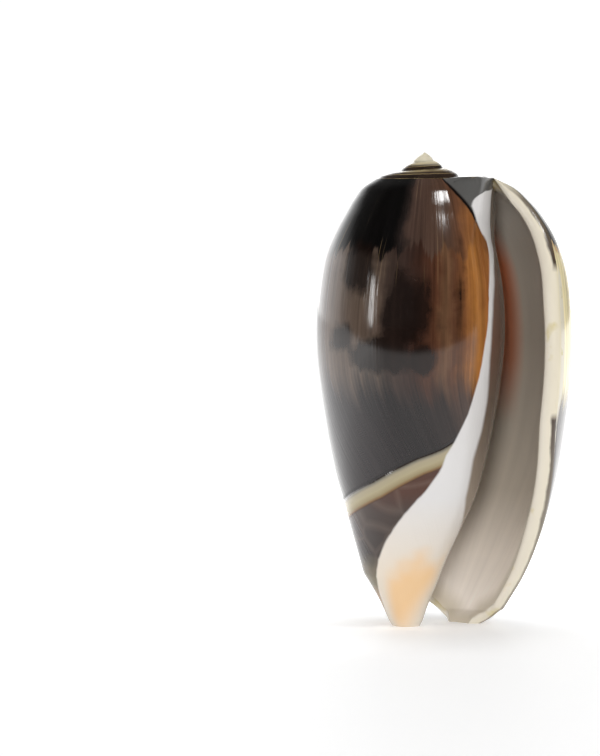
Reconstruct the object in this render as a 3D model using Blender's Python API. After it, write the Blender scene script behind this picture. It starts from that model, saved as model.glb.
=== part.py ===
"""Olive shell: one closed body, a wall that winds one turn and more round its own earlier whorls."""
import math

import bmesh
import bpy
import numpy as np

# Sizes in metres, heights from the ground, azimuth in degrees seen from above.
TOP = 0.050
SHOULDER = 0.0473
WALL_RADIUS = 0.01655
TURN_GROWTH = 1.95
LENGTH_GROWTH = 1.22
LIP_AZIMUTH = -37.0
LIP_SWEEP_TOP = 5.0
LIP_SWEEP_FOOT = 9.0
LIP_TRIM = 7.0
LIP_TRIM_FOOT = 23.0
LIP_TRIM_TOP = 5.0
WALL_THICKNESS = 0.0017
LIP_THICKNESS = 0.0018
CAVITY_ANGLE = 162.0
CEILING = 0.0459
NOTCH_HEIGHT = 0.0032
NOTCH_START = 54.0
NOTCH_TOP = 144.0
NOTCH_END = 200.0
LIP_CORNER_HEIGHT = 0.0018
COLUMELLA_LEAN = 0.0020
LEAN_HEIGHT = 0.014
PAD_RADIUS = 0.00745
MOUND_HEIGHT = 0.0008
CREST_RADIUS = 0.0079
SPIRE_RADIUS = 0.0052
SPIRE_HEIGHT = 0.00285
SPIRE_TURNS = 4
SUTURE_DEPTH = 0.00022
AXIS_X = -0.0020
AXIS_Y = -0.0018
FOOT_OVERCUT = 0.0004
FOOT_ROUNDING = 0.09

# Whorl radius down the lip as a share of WALL_RADIUS, at shares of the distance from shoulder to foot.
PROFILE_SHARE = (0.0, 0.02, 0.05, 0.10, 0.18, 0.30, 0.42, 0.55, 0.68,
                 0.80, 0.90, 0.97, 1.04, 1.12, 1.18, 1.26, 1.45)
PROFILE_RADIUS = (0.474, 0.600, 0.706, 0.825, 0.930, 0.988, 0.995, 0.958, 0.893,
                  0.790, 0.664, 0.545, 0.425, 0.320, 0.245, 0.205, 0.175)

# Mesh resolution.
STEPS_PER_TURN = 40
WALL_ROWS = 34
SHOULDER_ROWS = 5


def smooth(value, start, end):
    """Rise from 0 at start to 1 at end with level ends."""
    share = min(max((value - start) / (end - start), 0.0), 1.0)
    return share * share * (3.0 - 2.0 * share)


def bell(value, middle, half_width):
    """One smooth bump of height 1 that ends at half_width on both sides."""
    share = min(abs(value - middle) / half_width, 1.0)
    return math.cos(share * math.pi / 2.0) ** 2


def profile(share):
    """Smooth curve through the profile stations."""
    knots = np.array(PROFILE_SHARE)
    radii = np.array(PROFILE_RADIUS)
    slopes = np.gradient(radii, knots)
    share = min(max(share, knots[0]), knots[-1])
    i = min(int(np.searchsorted(knots, share, side="right")) - 1, len(knots) - 2)
    gap = knots[i + 1] - knots[i]
    t = (share - knots[i]) / gap
    start = (1 + 2 * t) * (1 - t) ** 2 * radii[i] + t * (1 - t) ** 2 * gap * slopes[i]
    end = t * t * (3 - 2 * t) * radii[i + 1] + t * t * (t - 1) * gap * slopes[i + 1]
    return float(start + end)


def growth(angle):
    """How much smaller the spiral is at a winding angle than at the lip."""
    return TURN_GROWTH ** (-angle / 360.0)


def wall_growth(angle, z):
    """The same for the wall, which tightens a little faster below the shoulder and near the foot."""
    shoulder = 0.18 * bell(z, 0.0442, 0.0052)
    middle = 0.12 * bell(z, 0.030, 0.014)
    foot = 0.14 * bell(z, 0.008, 0.009)
    return (TURN_GROWTH + shoulder - middle + foot) ** (-angle / 360.0)


def azimuth(angle, z):
    """Direction from the axis of the point that lies angle degrees back from the lip's edge."""
    level = 2.0 * z / TOP - 1.0
    sweep = LIP_SWEEP_TOP if level > 0 else LIP_SWEEP_FOOT
    return math.radians(LIP_AZIMUTH + sweep * level * level + angle)


def lip_trim(angle, z):
    """Winding angle after the lip's edge is drawn back, least at mid-height and most at the foot."""
    edge = LIP_TRIM + LIP_TRIM_FOOT * max(1.0 - z / 0.022, 0.0) ** 1.2
    edge += LIP_TRIM_TOP * smooth(z, 0.034, 0.044)
    return angle + edge * (1.0 - smooth(angle, 0.0, 130.0))


def place(angle, radius, z):
    """Point in space from the winding angle, the distance from the axis and the height."""
    turn = azimuth(angle, z)
    lean = COLUMELLA_LEAN * max(1.0 - z / LEAN_HEIGHT, 0.0) ** 1.5 * smooth(angle, 95.0, 225.0)
    return np.array((AXIS_X - lean + radius * math.cos(turn), AXIS_Y + radius * math.sin(turn), z))


def pad_share(angle):
    """How much of the smooth callus pad lies on the whorl, most beside the top of the aperture."""
    return smooth(angle, 328.0, 354.0) * (1.0 - smooth(angle, 415.0, 500.0))


def whorl_radius(angle, z):
    length = SHOULDER * LENGTH_GROWTH ** (-angle / 360.0)
    radius = WALL_RADIUS * wall_growth(angle, z) * profile((SHOULDER - z) / length)
    pad = pad_share(angle) * smooth(z, 0.036, 0.044)
    radius += pad * (PAD_RADIUS - radius)
    foot = bell(angle, 215.0, 135.0) * max(1.0 - z / 0.0056, 0.0) ** 1.2
    rounding = FOOT_ROUNDING * min(max(1.0 - z / 0.0009, 0.0), 1.0) ** 2
    return radius * (1.0 - 0.55 * min(foot, 1.0)) * (1.0 - rounding)


def wall_point(angle, z):
    if 0.0 <= angle < 130.0:
        angle = lip_trim(angle, z)
    return place(angle, whorl_radius(angle, z), z)


def crest_point(angle):
    """Upper edge of a whorl, which runs up the low spire to the tip."""
    if 0.0 <= angle < 130.0:
        angle = lip_trim(angle, SHOULDER)
    last = 360.0 * SPIRE_TURNS
    radius = CREST_RADIUS * growth(angle) * (1.0 - smooth(angle, last - 360.0, last))
    slope = math.sin(min(radius / SPIRE_RADIUS, 1.0) * math.pi / 2.0)
    z = TOP - SPIRE_HEIGHT * slope + 0.00012 * (1.0 - smooth(angle, 0.0, 90.0))
    return place(angle, radius, z)


def strip_point(angle, row):
    """Point between the crests of a whorl and of the one before it, with a groove beside the first."""
    t = (0.0, 0.09, 0.20, 0.45, 0.75, 1.0)[row]
    outer = crest_point(angle)
    inner = crest_point(angle + 360.0)
    point = outer + (inner - outer) * t
    fade = min(math.dist(outer[:2], inner[:2]) / 0.0022, 1.0)
    if row == 1:
        point[2] -= SUTURE_DEPTH * fade
    else:
        point[2] += 0.00022 * fade * math.sin(t * math.pi)
    return point


def foot_height(angle):
    """Height of the lower margin: lip corner, level stretch, notch, then the columella up to the notch."""
    corner = (LIP_CORNER_HEIGHT + FOOT_OVERCUT) * (1.0 - smooth(angle, 0.0, 24.0))
    notch = smooth(angle, NOTCH_START, NOTCH_TOP) * (1.0 - smooth(angle, NOTCH_TOP, NOTCH_END))
    end = 1.0 - smooth(CAVITY_ANGLE, NOTCH_TOP, NOTCH_END)
    inside = end * smooth(angle - 360.0, 132.0, CAVITY_ANGLE)
    return corner + (NOTCH_HEIGHT + FOOT_OVERCUT) * (notch + inside) - FOOT_OVERCUT


def upper_height(angle):
    """Height at which the plain wall ends: below the shoulder, or at the cavity's ceiling."""
    if angle <= 360.0:
        rise = pad_share(angle)
    else:
        rise = 1.0 - smooth(angle, 360.0, 390.0)
    return CEILING + (SHOULDER - 0.0002 - CEILING) * rise + MOUND_HEIGHT * bell(angle, 342.0, 18.0)


def row_share(row):
    """Share of the height at a row, with the rows closer together at both ends."""
    t = row / WALL_ROWS
    return t - 0.07 * math.sin(2.0 * math.pi * t)


def wall_column(angle):
    """Points of the outer surface from the lower margin up to where the shoulder or the ceiling begins."""
    low = foot_height(angle)
    high = upper_height(angle)
    column = [wall_point(angle, low + (high - low) * row_share(row)) for row in range(WALL_ROWS + 1)]
    pull = smooth(angle, 330.0, 360.0) * (1.0 - smooth(angle, 360.0, 378.0))
    gap = crest_point(angle - 360.0) - column[-1]
    return [point + gap * pull * row_share(row) ** 8 for row, point in enumerate(column)]


def shoulder_column(angle, start):
    """Points from the plain wall's last point over the shoulder, or over the pad, to the crest."""
    end = crest_point(angle)
    low = upper_height(angle)
    column = []
    for row in range(1, SHOULDER_ROWS):
        t = row / SHOULDER_ROWS
        plain = wall_point(angle, low + (SHOULDER - low) * t ** 0.8)
        across = start + (end - start) * t
        plain += (across - plain) * min(pad_share(angle) * 1.6, 1.0)
        column.append(plain + (strip_point(angle - 360.0, row) - plain) * smooth(angle, 330.0, 360.0))
    return column + [end]


def inner_column(angle, ceiling):
    """Points of the wall's inner surface, from the lower margin up to the given point of the ceiling."""
    low = foot_height(angle)
    column = []
    for row in range(WALL_ROWS):
        z = low + (ceiling[2] - low) * row_share(row)
        z = min(z, CEILING)
        across = wall_point(angle + 1.0, z) - wall_point(angle - 1.0, z)
        along = wall_point(angle, z + 0.0002) - wall_point(angle, z - 0.0002)
        normal = np.cross(across, along)
        normal /= np.linalg.norm(normal)
        edge = 1.0 - smooth(angle, 0.0, 30.0)
        thickness = WALL_THICKNESS + (LIP_THICKNESS - WALL_THICKNESS) * edge
        thickness *= 0.62 + 0.38 * smooth(z, 0.0, 0.012) - 0.25 * smooth(z, 0.040, 0.0465)
        column.append(wall_point(angle, z) - normal * thickness)
    return column


def rim_point(outer, inner, beside):
    """Middle of the rounded edge between two surfaces, away from the point of the wall beside it."""
    middle = (outer + inner) / 2.0
    away = middle - beside
    return middle + away / np.linalg.norm(away) * math.dist(outer, inner) * 0.42


def build_shell():
    mesh = bmesh.new()

    def add(points):
        return [mesh.verts.new([float(value) for value in point]) for point in points]

    step = 360.0 / STEPS_PER_TURN
    turn = STEPS_PER_TURN
    cavity = round(CAVITY_ANGLE / step)
    faces = []

    # Outer surface: one turn with its shoulder, then the part of the earlier whorl inside the cavity.
    outer_points = [wall_column(i * step) for i in range(turn + cavity + 1)]
    outer = [add(column) for column in outer_points]
    shoulder = []
    for i in range(turn + 1):
        shoulder.append([outer[i][-1]] + add(shoulder_column(i * step, outer_points[i][-1])))
    mesh.verts.remove(shoulder[0][-1])
    shoulder[0][-1] = outer[turn][-1]
    for i in range(turn + cavity):
        for j in range(WALL_ROWS):
            faces.append((outer[i][j], outer[i + 1][j], outer[i + 1][j + 1], outer[i][j + 1]))
    for i in range(turn):
        for j in range(SHOULDER_ROWS):
            faces.append((shoulder[i][j], shoulder[i + 1][j], shoulder[i + 1][j + 1], shoulder[i][j + 1]))

    # Spire: a strip that winds inward from crest to crest and ends in the tip.
    tip = mesh.verts.new((AXIS_X, AXIS_Y, TOP))
    crest = {i: shoulder[i][-1] for i in range(turn + 1)}
    last = SPIRE_TURNS * turn
    strip = {0: [outer[turn][-1]] + shoulder[turn][1:]}
    for i in range(1, last + 1):
        row_start = crest[i] if i < last else tip
        if i + turn < last and i + turn not in crest:
            crest[i + turn] = add([crest_point((i + turn) * step)])[0]
        row_end = crest.get(i + turn, tip)
        if i == last:
            strip[i] = [tip] * (SHOULDER_ROWS + 1)
        else:
            middle = add([strip_point(i * step, k) for k in range(1, SHOULDER_ROWS)])
            strip[i] = [row_start] + middle + [row_end]
    for i in range(last):
        for k in range(SHOULDER_ROWS):
            faces.append((strip[i][k], strip[i + 1][k], strip[i + 1][k + 1], strip[i][k + 1]))

    # Inner surface of the wall, which meets the earlier whorl along the ceiling.
    inner_points = [inner_column(i * step, outer_points[turn + i][-1]) for i in range(cavity + 1)]
    inner = [add(inner_points[i]) + [outer[turn + i][-1]] for i in range(cavity + 1)]
    for i in range(cavity):
        for j in range(WALL_ROWS):
            faces.append((inner[i][j], inner[i][j + 1], inner[i + 1][j + 1], inner[i + 1][j]))
    near, far = inner[cavity], outer[turn + cavity]
    for j in range(WALL_ROWS):
        faces.append((near[j], near[j + 1], far[j + 1], far[j]))

    # Rounded margin down the lip and round the foot to the end of the cavity.
    path = [(0, j) for j in range(WALL_ROWS - 1, -1, -1)] + [(i, 0) for i in range(1, cavity + 1)]
    rim = {}
    for i, j in path:
        near, row = (i + 2, j) if j else (i, j + 2)
        beside = (outer_points[near][row] + inner_points[near][row]) / 2.0
        rim[i, j] = add([rim_point(outer_points[i][j], inner_points[i][j], beside)])[0]
    for a, b in zip(path, path[1:]):
        faces.append((outer[a[0]][a[1]], rim[a], rim[b], outer[b[0]][b[1]]))
        faces.append((rim[a], inner[a[0]][a[1]], inner[b[0]][b[1]], rim[b]))
    top = WALL_ROWS - 1
    faces.append((outer[0][top], *shoulder[0], inner[0][top], rim[0, top]))

    # Underside of the columella.
    end = turn + cavity
    foot = [outer[i][0] for i in range(cavity, end + 1)] + [inner[cavity][0], rim[cavity, 0]]
    middle = add([place(360.0, 0.0, -FOOT_OVERCUT)])[0]
    faces += [(a, b, middle) for a, b in zip(foot, foot[1:] + foot[:1])]

    for corners in faces:
        unique = list(dict.fromkeys(corners))
        if len(unique) > 2:
            mesh.faces.new(unique)
    bmesh.ops.triangulate(mesh, faces=[face for face in mesh.faces if len(face.verts) > 4])
    bmesh.ops.recalc_face_normals(mesh, faces=mesh.faces)
    data = bpy.data.meshes.new("shell")
    mesh.to_mesh(data)
    mesh.free()
    return bpy.data.objects.new("shell", data)


def main():
    for item in list(bpy.data.objects):
        bpy.data.objects.remove(item, do_unlink=True)
    parts = bpy.data.collections.new("olive_shell")
    helpers = bpy.data.collections.new("helpers")
    bpy.context.scene.collection.children.link(parts)
    bpy.context.scene.collection.children.link(helpers)

    shell = build_shell()
    parts.objects.link(shell)

    # Level the two feet so that the shell stands.
    bpy.ops.mesh.primitive_cube_add(size=0.06, location=(0.0, 0.0, -0.03))
    ground = bpy.context.object
    ground.name = "ground_cut"
    for owner in list(ground.users_collection):
        owner.objects.unlink(ground)
    helpers.objects.link(ground)
    ground.hide_render = True
    ground.display_type = "WIRE"
    level = shell.modifiers.new("level_feet", "BOOLEAN")
    level.operation = "DIFFERENCE"
    level.solver = "EXACT"
    level.object = ground

    shine = bpy.data.materials.new("shell_surface")
    shine.use_nodes = True
    principled = shine.node_tree.nodes["Principled BSDF"]
    principled.inputs["Base Color"].default_value = (0.16, 0.09, 0.05, 1.0)
    principled.inputs["Roughness"].default_value = 0.25
    principled.inputs["Metallic"].default_value = 0.0
    shell.data.materials.append(shine)

    bpy.ops.object.select_all(action="DESELECT")
    shell.select_set(True)
    bpy.context.view_layer.objects.active = shell
    bpy.ops.object.shade_smooth()
    shell.data.set_sharp_from_angle(angle=math.radians(40.0))


main()
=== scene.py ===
import math
import bpy
import numpy as np
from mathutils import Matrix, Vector


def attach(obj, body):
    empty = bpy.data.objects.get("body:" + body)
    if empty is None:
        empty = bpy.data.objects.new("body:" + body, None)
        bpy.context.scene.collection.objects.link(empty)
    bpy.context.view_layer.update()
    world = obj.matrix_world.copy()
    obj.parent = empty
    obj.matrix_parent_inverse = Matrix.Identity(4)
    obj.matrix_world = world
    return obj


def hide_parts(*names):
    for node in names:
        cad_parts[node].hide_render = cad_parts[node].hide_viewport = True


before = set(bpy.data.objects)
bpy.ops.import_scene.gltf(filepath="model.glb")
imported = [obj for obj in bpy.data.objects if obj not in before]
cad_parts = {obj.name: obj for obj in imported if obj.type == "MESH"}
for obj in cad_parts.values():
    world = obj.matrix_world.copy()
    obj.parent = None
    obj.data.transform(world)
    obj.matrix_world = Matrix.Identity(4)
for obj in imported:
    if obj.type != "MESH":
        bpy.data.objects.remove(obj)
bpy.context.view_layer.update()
print("frame loaded")

# Lengths in millimetres, angles in degrees. The winding angle counts back from the edge of the outer lip:
# 0 is the lip, 180 the far side of the last whorl and 360 the whorl that lies under the lip.
form = {
    "top": 50.0,
    "shoulder": 47.3,
    "wallRadius": 16.55,
    "turnGrowth": 1.95,
    "growthSwells": ((0.18, 44.2, 5.2), (-0.12, 30, 14), (0.14, 8, 9)),
    "lengthGrowth": 1.22,
    "lipAzimuth": -37.0,
    "lipSweepTop": 5.0,
    "lipSweepFoot": 9.0,
    "lipTrim": 7.0,
    "lipTrimFoot": 23.0,
    "lipTrimTop": 5.0,
    "trimHeight": 22.0,
    "trimReach": 130.0,
    "wallThickness": 1.7,
    "lipThickness": 1.8,
    "cavityAngle": 162.0,
    "ceiling": 45.9,
    "notchHeight": 3.2,
    "notchStart": 54.0,
    "notchTop": 144.0,
    "notchEnd": 200.0,
    "lipCornerHeight": 1.8,
    "footOvercut": 0.4,
    "footRounding": 0.09,
    "columellaLean": 2.0,
    "leanHeight": 14.0,
    "padRadius": 7.45,
    "padAngles": (328, 354, 415, 500),
    "moundAngle": 342.0,
    "moundHeight": 0.8,
    "crestRadius": 7.9,
    "spireRadius": 5.2,
    "spireHeight": 2.85,
    "spireTurns": 4,
    "sutureDepth": 0.24,
    "axisX": -2.0,
    "axisY": -1.8,
    "profileShare": (0.0, 0.02, 0.05, 0.10, 0.18, 0.30, 0.42, 0.55, 0.68, 0.80, 0.90, 0.97, 1.04, 1.12,
                     1.18, 1.26, 1.45),
    "profileRadius": (0.474, 0.600, 0.706, 0.825, 0.930, 0.988, 0.995, 0.958, 0.893, 0.790, 0.664, 0.545,
                      0.425, 0.320, 0.245, 0.205, 0.175),
    "stepsPerTurn": 120,
    "wallRows": 110,
    "shoulderRows": 14,
    "rimSteps": 8,
}
turnSteps = form["stepsPerTurn"]
cavitySteps = round(form["cavityAngle"] * turnSteps / 360)


def smoothStep(value, start, end):
    t = np.clip((np.asarray(value, float) - start) / (end - start), 0, 1)
    return t * t * (3 - 2 * t)


def swell(value, middle, halfWidth):
    return np.cos(np.clip(np.abs(np.asarray(value, float) - middle) / halfWidth, 0, 1) * math.pi / 2) ** 2


def smoothCurve(x, knots, values):
    # a smooth curve through the given stations
    knots, values = np.array(knots, float), np.array(values, float)
    slopes = np.gradient(values, knots)
    x = np.clip(x, knots[0], knots[-1])
    i = np.clip(np.searchsorted(knots, x, side="right") - 1, 0, len(knots) - 2)
    gap = knots[i + 1] - knots[i]
    t = (x - knots[i]) / gap
    start = (1 + 2 * t) * (1 - t) ** 2 * values[i] + t * (1 - t) ** 2 * gap * slopes[i]
    return start + t * t * (3 - 2 * t) * values[i + 1] + t * t * (t - 1) * gap * slopes[i + 1]


def trimmed(angle, z):
    # the lip's edge is drawn back, least at mid-height and most at the foot
    reach = form["trimReach"]
    edge = form["lipTrim"] + form["lipTrimFoot"] * np.clip(1 - z / form["trimHeight"], 0, None) ** 1.2
    edge = edge + form["lipTrimTop"] * smoothStep(z, 34, 44)
    return np.where((angle >= 0) & (angle < reach), angle + edge * (1 - smoothStep(angle, 0, reach)), angle)


def place(angle, radius, z):
    level = 2 * z / form["top"] - 1
    sweep = np.where(level > 0, form["lipSweepTop"], form["lipSweepFoot"]) * level * level
    turn = np.radians(form["lipAzimuth"] + sweep + angle)
    low = np.clip(1 - z / form["leanHeight"], 0, None) ** 1.5
    lean = form["columellaLean"] * low * smoothStep(angle, 95, 225)
    x = form["axisX"] - lean + radius * np.cos(turn)
    return np.stack(np.broadcast_arrays(x, form["axisY"] + radius * np.sin(turn), z), axis=-1)


def padShare(angle):
    # where the wall is padded out under the lip's upper corner
    begin, full, level, end = form["padAngles"]
    return smoothStep(angle, begin, full) * (1 - smoothStep(angle, level, end))


def wallRadiusAt(angle, z):
    rate = form["turnGrowth"]
    for amount, middle, halfWidth in form["growthSwells"]:
        rate = rate + amount * swell(z, middle, halfWidth)
    length = form["shoulder"] * form["lengthGrowth"] ** (-angle / 360)
    share = (form["shoulder"] - z) / length
    radius = form["wallRadius"] * rate ** (-angle / 360)
    radius = radius * smoothCurve(share, form["profileShare"], form["profileRadius"])
    radius = radius + padShare(angle) * smoothStep(z, 36, 44) * (form["padRadius"] - radius)
    foot = swell(angle, 215, 135) * np.clip(1 - z / 5.6, 0, None) ** 1.2
    rounding = form["footRounding"] * np.clip(1 - z / 0.9, 0, 1) ** 2
    return radius * (1 - 0.55 * np.minimum(foot, 1)) * (1 - rounding)


def wallPoint(angle, z):
    angle, z = np.broadcast_arrays(np.asarray(angle, float), np.asarray(z, float))
    angle = trimmed(angle, z)
    return place(angle, wallRadiusAt(angle, z), z)


def crestPoint(angle):
    angle = np.asarray(angle, float)
    angle = trimmed(angle, form["shoulder"])
    last = 360.0 * form["spireTurns"]
    radius = form["crestRadius"] * form["turnGrowth"] ** (-angle / 360)
    radius = radius * (1 - smoothStep(angle, last - 360, last))
    slope = np.sin(np.clip(radius / form["spireRadius"], 0, 1) * math.pi / 2)
    z = form["top"] - form["spireHeight"] * slope + 0.12 * (1 - smoothStep(angle, 0, 90))
    return place(angle, radius, z)


def stripPoint(angle, t):
    # between the crests of a whorl and the one before it, with the suture's groove beside the first
    outer, inner = crestPoint(angle), crestPoint(angle + 360)
    point = outer + (inner - outer) * t[..., None]
    fade = np.minimum(np.hypot(*(outer - inner)[..., :2].T).T / 2.2, 1)
    point[..., 2] += fade * (0.22 * np.sin(t * math.pi) - form["sutureDepth"] * swell(t, 0.10, 0.09))
    return point


def footHeight(angle):
    corner = (form["lipCornerHeight"] + form["footOvercut"]) * (1 - smoothStep(angle, 0, 24))
    notch = smoothStep(angle, form["notchStart"], form["notchTop"])
    notch = notch * (1 - smoothStep(angle, form["notchTop"], form["notchEnd"]))
    end = 1 - smoothStep(form["cavityAngle"], form["notchTop"], form["notchEnd"])
    inside = end * smoothStep(angle - 360, 132, form["cavityAngle"])
    return corner + (form["notchHeight"] + form["footOvercut"]) * (notch + inside) - form["footOvercut"]


def upperHeight(angle):
    rise = np.where(angle <= 360, padShare(angle), 1 - smoothStep(angle, 360, 390))
    height = form["ceiling"] + (form["shoulder"] - 0.2 - form["ceiling"]) * rise
    return height + form["moundHeight"] * swell(angle, form["moundAngle"], 18)


# The sheets of points that make the surface: rows run up the shell, columns follow the winding angle.
stepAngle = 360.0 / turnSteps
rowShare = np.linspace(0, 1, form["wallRows"] + 1)
rowShare = rowShare - 0.07 * np.sin(2 * math.pi * rowShare)
outerAngle = np.arange(turnSteps + cavitySteps + 1) * stepAngle
low, high = footHeight(outerAngle), upperHeight(outerAngle)
outerPoints = wallPoint(outerAngle[None, :], low + (high - low) * rowShare[:, None])
pull = smoothStep(outerAngle, 330, 360) * (1 - smoothStep(outerAngle, 360, 378))
gap = crestPoint(outerAngle - 360) - outerPoints[-1]
outerPoints = outerPoints + gap[None] * (pull[None, :] * rowShare[:, None] ** 8)[..., None]

shoulderAngle = outerAngle[: turnSteps + 1]
shoulderShare = np.linspace(0, 1, form["shoulderRows"] + 1)
begin = high[: turnSteps + 1]
climb = (form["shoulder"] - begin) * shoulderShare[:, None] ** 0.8
plain = wallPoint(shoulderAngle[None, :], begin + climb)
strip = stripPoint(np.broadcast_to(shoulderAngle - 360, plain.shape[:2]),
                   np.broadcast_to(shoulderShare[:, None], plain.shape[:2]))
start, end = outerPoints[-1, : turnSteps + 1], crestPoint(shoulderAngle)
across = start + (end - start) * shoulderShare[:, None, None]
plain = plain + (across - plain) * np.minimum(padShare(shoulderAngle) * 1.6, 1)[None, :, None]
shoulderPoints = plain + (strip - plain) * smoothStep(shoulderAngle, 330, 360)[None, :, None]
shoulderPoints[0] = outerPoints[-1, : turnSteps + 1]
shoulderPoints[-1] = crestPoint(shoulderAngle)

spireAngle = np.arange(form["spireTurns"] * turnSteps + 1) * stepAngle
spireShape = (form["shoulderRows"] + 1, len(spireAngle))
spirePoints = stripPoint(np.broadcast_to(spireAngle, spireShape),
                         np.broadcast_to(shoulderShare[:, None], spireShape))
spirePoints[:, 0] = shoulderPoints[:, -1]
spirePoints[0, : turnSteps + 1] = shoulderPoints[-1]

cavityAngle = outerAngle[: cavitySteps + 1]
ceilingLine = outerPoints[-1, turnSteps : turnSteps + cavitySteps + 1]
innerLow = footHeight(cavityAngle)
innerTop = form["ceiling"] - 0.5
innerZ = innerLow + (innerTop - innerLow) * rowShare[:, None]
innerAngle = np.broadcast_to(cavityAngle, innerZ.shape)
across = wallPoint(innerAngle + 1, innerZ) - wallPoint(innerAngle - 1, innerZ)
across[:, 0] = (wallPoint(innerAngle + 1, innerZ) - wallPoint(innerAngle, innerZ))[:, 0]
along = wallPoint(innerAngle, innerZ + 0.2) - wallPoint(innerAngle, innerZ - 0.2)
normal = np.cross(across, along)
normal /= np.linalg.norm(normal, axis=-1, keepdims=True)
nearLip = 1 - smoothStep(innerAngle, 0, 30)
thickness = form["wallThickness"] + (form["lipThickness"] - form["wallThickness"]) * nearLip
thickness = thickness * (0.62 + 0.38 * smoothStep(innerZ, 0, 12) - 0.25 * smoothStep(innerZ, 40, 46.5))
innerPoints = wallPoint(innerAngle, innerZ) - normal * thickness[..., None]

# the roof of the cavity bends over from the inner wall to the earlier whorl
t = shoulderShare[:, None, None]
bend = innerPoints[-1] + (innerPoints[-1] - innerPoints[-4]) * 0.8
roofPoints = (1 - t) ** 2 * innerPoints[-1] + 2 * t * (1 - t) * bend + t ** 2 * ceilingLine

# the rounded margin runs from the crest down the lip and round the foot to the end of the cavity
rimOuter = np.concatenate((shoulderPoints[:0:-1, 0], outerPoints[::-1, 0],
                           outerPoints[0, 1 : cavitySteps + 1]))
rimInner = np.concatenate((roofPoints[:0:-1, 0], innerPoints[::-1, 0], innerPoints[0, 1 : cavitySteps + 1]))
besideOuter = np.concatenate((shoulderPoints[:0:-1, 2], outerPoints[:0:-1, 2],
                              outerPoints[2, : cavitySteps + 1]))
besideInner = np.concatenate((roofPoints[:0:-1, 2], innerPoints[:0:-1, 2],
                              innerPoints[2, : cavitySteps + 1]))
away = (rimOuter + rimInner) / 2 - (besideOuter + besideInner) / 2
away /= np.linalg.norm(away, axis=-1, keepdims=True) + 1e-9
for _ in range(6):
    away[1:-1] = (away[:-2] + away[1:-1] * 2 + away[2:]) / 4
arc = np.linspace(0, math.pi, form["rimSteps"] + 1)[:, None, None]
rimHalf = (rimOuter - rimInner) / 2
rimWidth = np.linalg.norm(rimHalf, axis=-1, keepdims=True)
rimPoints = (rimOuter + rimInner) / 2 + rimHalf * np.cos(arc) + away * rimWidth * 0.84 * np.sin(arc)

# the blind end of the cavity, its top edge on the roof's curve
endPoints = innerPoints[:, -1] + (outerPoints[:, -1] - innerPoints[:, -1]) * t
roofCurve = roofPoints[:, -1] - endPoints[:, -1]
endPoints = endPoints + roofCurve[:, None] * (rowShare ** 8)[None, :, None]

# underside of the columella, drawn in to its middle
footLine = np.concatenate((outerPoints[0, cavitySteps:], endPoints[::-1, 0][1:], rimPoints[::-1, -1][1:]))
middle = place(np.array(360.0), np.array(0.0), np.array(-form["footOvercut"]))
footPoints = footLine + (middle - footLine) * np.linspace(0, 1, 8)[:, None, None]
print("points laid out")

# Where the markings lie, as (height in mm, winding angle in degrees). A dark patch has half its height and
# width after its place, and the sweep gives the degrees that the growth lines turn at each angle.
marks = {
    "callusEdge": ((50, 364), (46.5, 364), (45.9, 358), (45.7, 353), (45.3, 347.5), (44.9, 345),
                   (44.4, 343.6), (43.9, 345.2), (43.3, 347.2), (42.6, 350), (41.9, 353.8), (41.2, 357.6),
                   (40.5, 360), (39.8, 360.8), (37.7, 357.8), (35.6, 354.6), (32.5, 353), (30, 350),
                   (26.8, 347), (24.8, 343.5), (23, 340), (21.2, 334), (19.6, 328), (18.6, 323),
                   (17, 319), (14.9, 307), (13.1, 293), (11.5, 281), (9.5, 266.5), (7.2, 251), (5, 240),
                   (3.6, 230), (1.5, 218), (-1, 212)),
    "liningEdge": ((50, 361), (46.5, 361), (45, 362), (43, 368), (41.8, 372), (39.8, 374), (37.7, 363),
                   (34.6, 358.5), (31.5, 356), (28.4, 355.3), (24.2, 358), (21, 356), (17.9, 349.5),
                   (13.7, 348.5), (12.1, 355), (10, 367), (8.4, 378), (4.7, 378), (2.5, 362), (-1, 352)),
    "bandLine": ((1.6, 118), (2.9, 131), (4.7, 144), (6.3, 152), (7.9, 164), (9.7, 178), (11.2, 194),
                 (12.2, 212), (12.7, 226), (13.8, 248), (14.9, 268), (16.3, 287), (17.4, 303),
                 (18.0, 315), (18.5, 324), (19.5, 336)),
    "darkPatches": ((33.6, 296, 4.9, 15), (37.8, 262, 2.8, 14), (30.6, 254, 1.7, 10),
                    (28.9, 278, 2.0, 20), (28.7, 304, 1.7, 12), (33.3, 330, 3.4, 2.6),
                    (32.4, 317, 1.2, 2.0)),
    "streakSweep": ((40, -14), (70, -10), (94, 10), (124, 45), (170, 52), (400, 52)),
}


def lineOnWall(stations, count=500):
    # points along a line drawn on the wall, in millimetres
    z, angle = np.array(stations, float).T
    share = np.linspace(0, len(z) - 1, count)
    z, angle = np.interp(share, np.arange(len(z)), z), np.interp(share, np.arange(len(angle)), angle)
    return z, angle, wallPoint(angle, z)


def nearest(points, line):
    distance = np.full(points.shape[:-1], 1e9)
    for spot in line.reshape(-1, 3):
        distance = np.minimum(distance, np.linalg.norm(points - spot, axis=-1))
    return distance


def streakAngle(angle, z):
    # growth lines are upright and sweep towards the notch near the foot
    sweepAngle, sweep = np.array(marks["streakSweep"], float).T
    depth = np.clip((27 - z) / 17, 0, None) ** 1.5
    low, high = np.zeros(np.shape(angle)) - 60, np.zeros(np.shape(angle)) + 600
    for _ in range(22):
        half = (low + high) / 2
        above = half + np.interp(half, sweepAngle, sweep) * depth > angle
        low, high = np.where(above, low, half), np.where(above, half, high)
    return (low + high) / 2


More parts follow.
